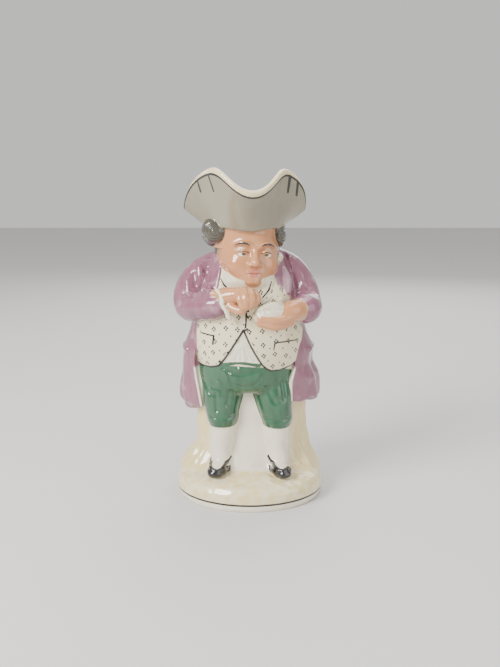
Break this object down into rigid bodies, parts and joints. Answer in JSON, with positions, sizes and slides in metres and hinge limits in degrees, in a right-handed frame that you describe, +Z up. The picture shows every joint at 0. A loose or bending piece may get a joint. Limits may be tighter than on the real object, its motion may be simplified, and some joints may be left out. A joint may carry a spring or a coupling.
{
  "type": "toby jug",
  "caption": "Hollow figural pottery jug: a standing man in a cocked hat that is its open mouth, taking a pinch from a box, with a loop handle down his back.",
  "frame": {"origin": "middle of the jug's footprint box, on the plane that its foot ring stands on", "axes": "+Z up, the man faces -Y, the handle is at +Y, and +X is his left hand's side"},
  "size_m": [0.114, 0.1192, 0.2503],
  "materials": {
    "glazed_earthenware": "painted under a clear gloss glaze"
  },
  "bodies": {
    "root": {"toby_jug": "glazed_earthenware"}
  },
  "joints": []
}
